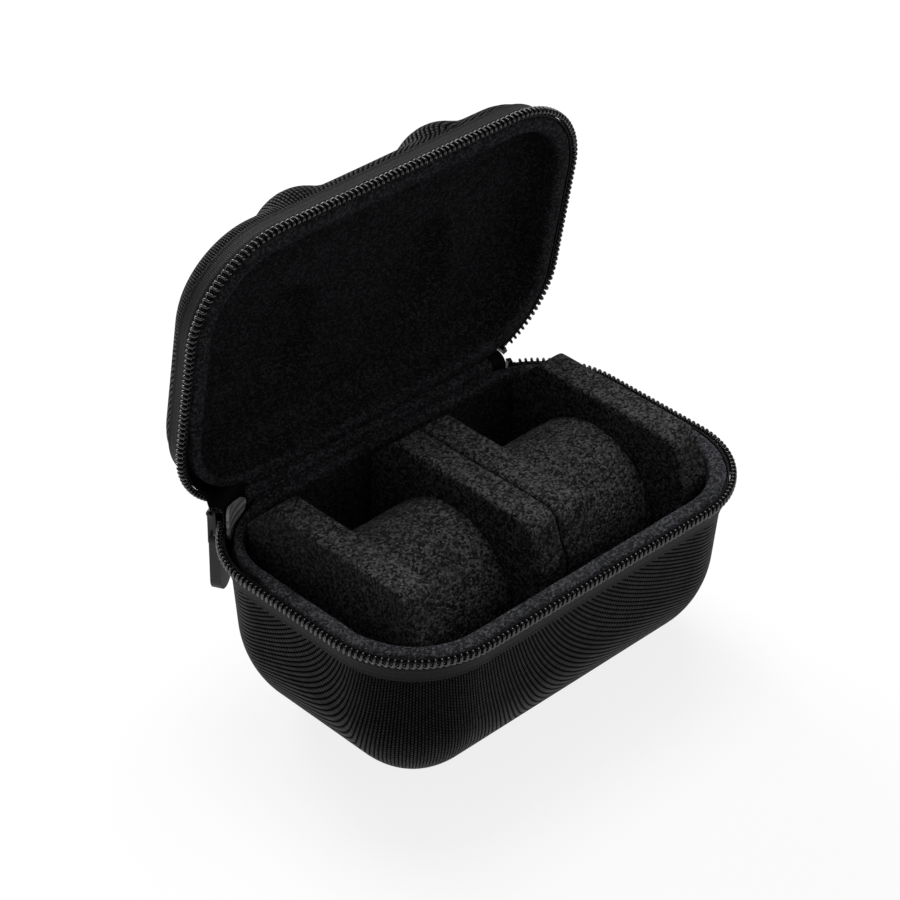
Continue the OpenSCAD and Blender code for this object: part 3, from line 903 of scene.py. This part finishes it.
def coil_piece(name, place_on, left, right):
    """One row of the coil: flat loops that stand across the rim and step on at their feet."""
    z = ZIP
    places = rim_places(SIZES.mesh_step / 2, left, right)
    turns = int((places["length"] - z.pitch) / z.pitch)
    t = np.arange(turns * z.turn_points + 1) / z.turn_points
    swing = 2 * math.pi * t
    foot = np.floor(t - 0.5) + 0.5
    stride = 2.6  # a loop steps on in its first part, in 1 / stride of a turn
    step = foot + smooth(np.clip((t - foot) * stride, 0, 1))
    run = (step + 0.5) * z.pitch + z.head_lead * np.sin(swing)
    wide = z.tooth_width / 2 - z.wire
    tall = z.tooth_height / 2 - z.wire
    core, turn = along(places, np.clip(run, 0, places["length"]))
    offset = SIZES.rim_radius + wide * squared(np.cos(swing))
    height = -z.head_gap - z.tooth_height / 2 + tall * squared(np.sin(swing))
    line = np.concatenate([core + outward(turn) * offset[:, None], height[:, None]], 1)
    return tube_piece(name, place_on, line, z.wire, 8)


def tube_piece(name, place_on, line, radius, sides):
    """A tube along a line of points, closed at both ends."""
    ahead = np.gradient(line, axis=0)
    ahead /= np.linalg.norm(ahead, axis=1)[:, None]
    side = np.cross(ahead[0], [0.0, 0.0, 1.0])
    if np.linalg.norm(side) < 0.05:  # the tube starts upright
        side = np.array([1.0, 0.0, 0.0])
    frames = [side / np.linalg.norm(side)]
    for i in range(1, len(line)):
        kept = frames[-1] - ahead[i] * np.dot(frames[-1], ahead[i])
        frames.append(kept / np.linalg.norm(kept))
    side = np.array(frames)
    up = np.cross(side, ahead)
    a = 2 * math.pi * np.arange(sides) / sides
    ring = side[:, None, :] * np.cos(a)[None, :, None] + up[:, None, :] * np.sin(a)[None, :, None]
    points = line[:, None, :] + ring * radius
    cloth = np.zeros(points.shape[:2] + (2,))
    return grid_piece(name, place_on(points), cloth, tube=True, caps=True)


def folded(rows_closed, turns):
    """Places rows of hinge cloth, given closed, on the open hinge. turns has each row's share of it."""
    turned = []
    for j, share in enumerate(turns):
        points = rows_closed[:, j].copy()
        points[..., 2] *= -1
        turned.append(on_lid(points, LID_OPEN * share))
    return np.stack(turned, 1)


def hinge_cloth(name, places, outline):
    """A band of cloth across the hinge: its rows run from the base up over the closing plane to the lid."""
    fold = 3.0 * MM  # half of the depth that bends
    rows = np.asarray(outline)
    points = swept(places, rows)
    share = smooth(np.clip((rows[:, 1] + fold) / (2 * fold), 0, 1))
    cloth = straight(places, lengths(rows))
    return grid_piece(name, folded(points, share), cloth, tube=True, caps=True)


def foam_piece(node, body, seed):
    """A foam block with soft edges and an open-cell skin, made from its construction solid."""
    source = frame["nodes"][node]
    piece = linked(node + "_foam", source.data.copy())
    remesh = piece.modifiers.new("cells", "REMESH")
    remesh.mode = "VOXEL"
    remesh.voxel_size = 0.75 * MM
    soften = piece.modifiers.new("soften", "SMOOTH")
    soften.factor = 0.5
    soften.iterations = 9
    apply_modifiers(piece)
    ruffle(piece, 11 * MM, 0.2 * MM, seed)
    piece.data.polygons.foreach_set("use_smooth", [True] * len(piece.data.polygons))
    place(piece, body, "insert_foam", foam_finish(), node)
    return piece


def apply_modifiers(piece):
    """Replaces a piece's mesh with its evaluated one."""
    seen = piece.evaluated_get(bpy.context.evaluated_depsgraph_get())
    mesh = bpy.data.meshes.new_from_object(seen)
    piece.modifiers.clear()
    piece.data = mesh


def soften_node(node, width, material, segments=3):
    """Keeps a rigid construction piece, with its edges broken and its finish."""
    piece = frame["nodes"][node]
    piece.data.materials.clear()
    piece.data.materials.append(material)
    if width:
        bevel = piece.modifiers.new("broken edges", "BEVEL")
        bevel.width = width
        bevel.segments = segments
        bevel.limit_method = "ANGLE"
        bevel.angle_limit = math.radians(30)


# Operators


class CASE_OT_stage(bpy.types.Operator):
    """Make the floor, the lamps and the camera"""

    bl_idname = "watch_case.stage"
    bl_label = "Stage"

    def execute(self, context):
        scene = context.scene
        scene.view_settings.view_transform = "Standard"
        half = 3.0
        mesh = bpy.data.meshes.new("floor")
        corners = [(x * half, y * half, 0) for x, y in ((-1, -1), (1, -1), (1, 1), (-1, 1))]
        mesh.from_pydata(corners, [], [(0, 1, 2, 3)])
        floor = linked("floor", mesh)
        mesh.materials.append(self.paper())
        world = bpy.data.worlds.new("studio")
        scene.world = world
        world.use_nodes = True
        sky = world.node_tree.nodes["Background"]
        sky.inputs["Color"].default_value = (1, 1, 1, 1)
        sky.inputs["Strength"].default_value = 0.22
        self.lamp("overhead softbox", (0.35, 0.4, 1.4), 0.9, 14.0)
        self.lamp("back softbox", (0.15, 1.0, 0.55), 0.5, 8.0)
        self.camera(scene)
        return {"FINISHED"}

    def paper(self):
        """White paper that keeps a pale shadow."""
        f = Finish("floor paper")
        f.set(Roughness=0.9, Specular_IOR_Level=0.1, Base_Color=(0.165, 0.165, 0.165, 1))
        f.set(Emission_Color=(1, 1, 1, 1))
        paper_light = 0.843
        light = f.tree.nodes.new("ShaderNodeLightPath")
        seen = f.maths("ADD", light.outputs["Is Camera Ray"], light.outputs["Is Glossy Ray"])
        seen = f.maths("ADD", seen, light.outputs["Is Transmission Ray"])
        seen = f.maths("MULTIPLY", f.maths("MINIMUM", seen, 1.0), paper_light)
        f.tree.links.new(seen, f.shader.inputs["Emission Strength"])
        return f.material

    def lamp(self, name, place, size, power):
        """A square soft lamp that looks at the case."""
        light = bpy.data.lights.new(name, "AREA")
        light.size = size
        light.energy = power
        lamp = linked(name, light)
        lamp.location = place
        aim = Vector((0, 0, 0.05)) - Vector(place)
        lamp.rotation_mode = "QUATERNION"
        lamp.rotation_quaternion = aim.to_track_quat("-Z", "Y")

    def camera(self, scene):
        """The photographer's view."""
        focal_px = 3112.35
        frame_px = 900
        heading = math.radians(-44.734)
        elevation = math.radians(35.315)
        roll = math.radians(0.957)
        distance = 0.9081
        target = Vector((0.0406, 0.05297, 0.0246))
        data = bpy.data.cameras.new("photo view")
        data.sensor_width = 36
        data.lens = focal_px / frame_px * data.sensor_width
        camera = linked("photo view", data)
        flat = math.cos(elevation)
        back = Vector((math.sin(heading) * flat, -math.cos(heading) * flat, math.sin(elevation)))
        right = Vector((0, 0, 1)).cross(back).normalized()
        up = back.cross(right)
        turned = Matrix((
            right * math.cos(roll) + up * math.sin(roll),
            up * math.cos(roll) - right * math.sin(roll),
            back,
        )).transposed()
        camera.matrix_world = Matrix.Translation(target + back * distance) @ turned.to_4x4()
        scene.camera = camera


class CASE_OT_covers(bpy.types.Operator):
    """Make the woven covers of the base and the lid"""

    bl_idname = "watch_case.covers"
    bl_label = "Covers"

    def execute(self, context):
        use_settings(context)
        s = SIZES
        skins = (0.0, s.cover_thick)
        base = cloth_tub("base_cloth", on_base, RIM_Z, s.base_fillet, s.base_edge, skins, None)
        place(base, "case_base", "woven_cover", woven_finish(), "base_cover")
        domes = (-27.4 * MM, 18 * MM)  # front and back end of a dome's middle line
        lid = cloth_tub("lid_cloth", on_lid, s.lid_height, s.lid_fillet, 0.0, skins, domes)
        place(lid, "lid", "woven_cover", woven_finish(), "lid_cover")
        return {"FINISHED"}


class CASE_OT_linings(bpy.types.Operator):
    """Make the velvet linings of the base and the lid"""

    bl_idname = "watch_case.linings"
    bl_label = "Linings"

    def execute(self, context):
        use_settings(context)
        s = SIZES
        base = lining_piece("base_velvet", on_base, RIM_Z, s.base_fillet, s.base_edge, None)
        ruffle(base, 7 * MM, 0.18 * MM, 3)
        place(base, "case_base", "velvet", velvet_finish(), "base_lining")
        domes = (0.0, 14.5 * MM)  # front and back end of a recess's middle line
        lid = lining_piece("lid_velvet", on_lid, s.lid_height, s.lid_fillet, 0.0, domes)
        ruffle(lid, 7 * MM, 0.18 * MM, 4)
        place(lid, "lid", "velvet", velvet_finish(), "lid_lining")
        for node in ("base_shell", "lid_shell"):
            soften_node(node, 0, board_finish())
        return {"FINISHED"}


class CASE_OT_zip(bpy.types.Operator):
    """Make the tapes, the coils and the stops of the zip"""

    bl_idname = "watch_case.zip"
    bl_label = "Zip"

    def execute(self, context):
        use_settings(context)
        z = ZIP
        base_end, lid_end, far = (math.degrees(a) for a in (z.base_left, z.lid_left, z.right))
        hinge = math.degrees(z.hinge_left)
        cut_from, cut_over = 56, 10
        sides = (
            ("base", "case_base", on_base, base_end, base_end + 5, 0.0),
            ("lid", "lid", on_lid, lid_end, hinge - 0.5, 1.3 * MM),
        )
        for name, body, place_on, coil_left, tape_left, edge_cut in sides:
            places = rim_places(SIZES.mesh_step, tape_left, far + 4)
            rows = tape_rows(z.tape_top)
            cloth = straight(places, lengths(rows))
            back = 180 - np.degrees(places["turn"])
            top = z.tape_top + edge_cut * np.clip((back - cut_from) / cut_over, 0, 1)
            points = lower_edge(swept(places, rows), top)
            tape = grid_piece(name + "_tape", place_on(points), cloth, tube=True, caps=True)
            place(tape, body, "zip_tape", tape_finish(), name + "_zip_tape")
            coil = coil_piece(name + "_coil", place_on, coil_left, far)
            place(coil, body, "zip_nylon", nylon_finish(), name + "_zip_teeth")
            filler = self.filler(name + "_coil_cord", place_on, coil_left)
            place(filler, body, "zip_tape", tape_finish())
        metal = metal_finish("stop metal", (0.012, 0.012, 0.013), 0.5)
        for node in ("base_zip_stops", "lid_zip_stop"):
            soften_node(node, 0.3 * MM, metal)
        return {"FINISHED"}

    def filler(self, name, place_on, left):
        """The cord that the coil is wound on."""
        places = rim_places(SIZES.mesh_step, left, math.degrees(ZIP.right))
        edge = places["core"] + outward(places["turn"]) * SIZES.rim_radius
        height = np.full((len(edge), 1), -ZIP.head_gap - ZIP.tooth_height / 2)
        return tube_piece(name, place_on, np.concatenate([edge, height], 1), 0.3 * MM, 8)


class CASE_OT_hinge(bpy.types.Operator):
    """Make the hinge cloth outside and the velvet strip inside"""

    bl_idname = "watch_case.hinge"
    bl_label = "Hinge"

    def execute(self, context):
        use_settings(context)
        s = SIZES
        z = ZIP
        places = hinge_places(s.mesh_step, math.degrees(z.hinge_left), math.degrees(z.hinge_right))
        outer = hinge_cloth("hinge_cloth", places, self.both_sides())
        outer.data.materials.append(tape_finish())
        self.blend(outer, "zip_tape", "base_hinge_tape", "lid_hinge_tape")
        corner = self.draped("corner_cloth", self.saddle())
        corner.data.materials.append(tape_finish())
        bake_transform(corner)
        strip_left, strip_right = 79, 78
        inner_places = hinge_places(s.mesh_step, strip_left, strip_right)
        strip = hinge_cloth("hinge_velvet", inner_places, self.strip_outline())
        strip.data.materials.append(velvet_finish())
        self.blend(strip, "velvet", "base_hinge_strip", "lid_hinge_strip")
        return {"FINISHED"}

    def draped(self, name, rows):
        """A smooth thin cloth through rows of points."""
        thickness, width, parts = 0.3 * MM, 18 * MM, 6
        m = rows.shape[1]
        fine = np.linspace(0, m - 1, parts * (m - 1) + 1)
        low = np.minimum(fine.astype(int), m - 2)
        t = (fine - low)[None, :, None]
        before = rows[:, np.maximum(low - 1, 0)]
        after = rows[:, np.minimum(low + 2, m - 1)]
        a, b = rows[:, low], rows[:, low + 1]
        bow = (b - before) * 0.5, (after - a) * 0.5
        h = 2 * t**3 - 3 * t**2 + 1, t**3 - 2 * t**2 + t, 3 * t**2 - 2 * t**3, t**3 - t**2
        points = a * h[0] + bow[0] * h[1] + b * h[2] + bow[1] * h[3]
        steps = np.linalg.norm(np.diff(points, axis=1), axis=2).mean(axis=0)
        deep = np.concatenate([[0], np.cumsum(steps)])
        run = np.linspace(0, width, len(rows))
        cloth = np.stack(np.broadcast_arrays(run[:, None], deep[None, :]), 2) / MM
        piece = grid_piece(name, points, cloth)
        thick = piece.modifiers.new("thickness", "SOLIDIFY")
        thick.thickness = thickness
        thick.offset = 0
        apply_modifiers(piece)
        return piece

    def saddle(self):
        """Rows of the lid's tape where it is drawn over the slider, from its channel back to the lid."""
        s = SIZES
        first, last, columns = 49, 79.5, 46  # degrees round the corner, as of the coil's ends
        left = np.linspace(first, last, columns)
        core = np.array([[s.rim_radius - s.rim_length / 2, s.rim_width / 2 - s.rim_radius]])
        out = outward(np.radians(180 - left))
        rows = []
        over = ((26.9, -4.6), (26.9, -3.4), (27.0, -2.2), (27.1, -1.2), (27.5, -0.3), (27.9, 0.0),
                (28.8, 0.25), (30.0, 0.2), (30.6, 0.0))
        for radius, height in over:
            high = np.full((len(left), 1), RIM_Z + ZIP.saddle_top + height * MM)
            rows.append(np.concatenate([core + out * radius * MM, high], 1))
        for radius, depth in ((26.7, 2.4), (26.6, 3.4), (26.5, 5.0)):
            low = np.full((len(left), 1), -depth * MM)
            rows.append(on_lid(np.concatenate([core + out * radius * MM, low], 1)))
        return np.stack(rows, 1)

    def both_sides(self):
        """Closed outline of the hinge cloth, from the base's cover over the closing plane to the lid's."""
        low = ZIP.tape_end
        steps = 48
        outer = []
        for i in range(steps + 1):
            h = -low + 2 * low * i / steps
            outer.append((self.skin(abs(h)) + ZIP.tape_thick, h, 1.0))
        back = [(r - ZIP.tape_thick * 0.98, h, 1.0) for r, h, _ in outer[::-1]]
        return outer + back

    def skin(self, h):
        """Radius of the back of the hinge cloth at a height from the closing plane."""
        z = ZIP
        face = SIZES.rim_radius - z.tape_face - z.tape_thick
        meet = wall_r(-z.tape_meet, 0) + 0.05 * MM
        end = wall_r(-z.tape_end, 0) + 0.05 * MM
        return float(np.interp(h, [0, z.tape_bend, z.tape_meet, z.tape_end], [face, face, meet, end]))

    def strip_outline(self):
        """Closed outline of the velvet strip."""
        r1 = SIZES.rim_radius - ZIP.tape_face - ZIP.tape_thick - 0.03 * MM
        r0 = r1 - 0.6 * MM
        low = 3.4 * MM
        steps = 24
        inner = [(r0, -low + 2 * low * i / steps, 1.0) for i in range(steps + 1)]
        outer = [(r1, low - 2 * low * i / steps, 1.0) for i in range(steps + 1)]
        return inner + outer

    def blend(self, piece, slot, *nodes):
        """Hides the construction pieces that a band stands for and bakes the band's placing into its mesh.
        """
        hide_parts(*nodes)
        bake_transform(piece)


class CASE_OT_inserts(bpy.types.Operator):
    """Make the foam cheeks and cores"""

    bl_idname = "watch_case.inserts"
    bl_label = "Foam inserts"

    def execute(self, context):
        use_settings(context)
        for seed, node in enumerate(("left_outer_cheek", "left_core", "left_inner_cheek")):
            foam_piece(node, "left_insert", seed)
        for seed, node in enumerate(("right_inner_cheek", "right_core", "right_outer_cheek")):
            foam_piece(node, "right_insert", seed + 10)
        return {"FINISHED"}


class CASE_OT_slider(bpy.types.Operator):
    """Finish the slider, its bridge and its pull"""

    bl_idname = "watch_case.slider"
    bl_label = "Slider and pull"

    def execute(self, context):
        use_settings(context)
        dark = metal_finish("bridge metal", (0.05, 0.05, 0.052), 0.45)
        soften_node("slider_body", 0.22 * MM, slider_finish())
        soften_node("slider_bridge", 0.12 * MM, dark)
        soften_node("pull_tab", 0.35 * MM, rubber_finish(), 4)
        return {"FINISHED"}


class CASE_PT_panel(bpy.types.Panel):
    """Sizes, colours and pieces of the case"""

    bl_label = "Watch case"
    bl_idname = "CASE_PT_panel"
    bl_space_type = "VIEW_3D"
    bl_region_type = "UI"
    bl_category = "Watch case"

    def draw(self, context):
        for operator in OPERATORS:
            self.layout.operator(operator.bl_idname)
        for name in SETTINGS:
            settings = getattr(context.scene, name)
            for field in settings.bl_rna.properties:
                if field.identifier not in ("name", "rna_type"):
                    self.layout.prop(settings, field.identifier)


OPERATORS = (
    CASE_OT_stage,
    CASE_OT_covers,
    CASE_OT_linings,
    CASE_OT_zip,
    CASE_OT_hinge,
    CASE_OT_inserts,
    CASE_OT_slider,
)
SETTINGS = {"case_sizes": CaseSizes, "case_zip": ZipSizes, "case_finishes": Finishes}


def register():
    """Adds the settings, the operators and the panel."""
    for name, group in SETTINGS.items():
        bpy.utils.register_class(group)
        setattr(bpy.types.Scene, name, PointerProperty(type=group))
    for operator in OPERATORS:
        bpy.utils.register_class(operator)
    bpy.utils.register_class(CASE_PT_panel)


def unregister():
    """Removes them again."""
    bpy.utils.unregister_class(CASE_PT_panel)
    for operator in reversed(OPERATORS):
        bpy.utils.unregister_class(operator)
    for name, group in SETTINGS.items():
        delattr(bpy.types.Scene, name)
        bpy.utils.unregister_class(group)


def main():
    """Builds the case piece by piece."""
    register()
    bpy.ops.watch_case.stage()
    bpy.ops.watch_case.covers()
    bpy.ops.watch_case.linings()
    bpy.ops.watch_case.zip()
    bpy.ops.watch_case.hinge()
    bpy.ops.watch_case.inserts()
    bpy.ops.watch_case.slider()


if __name__ == "__main__":
    main()
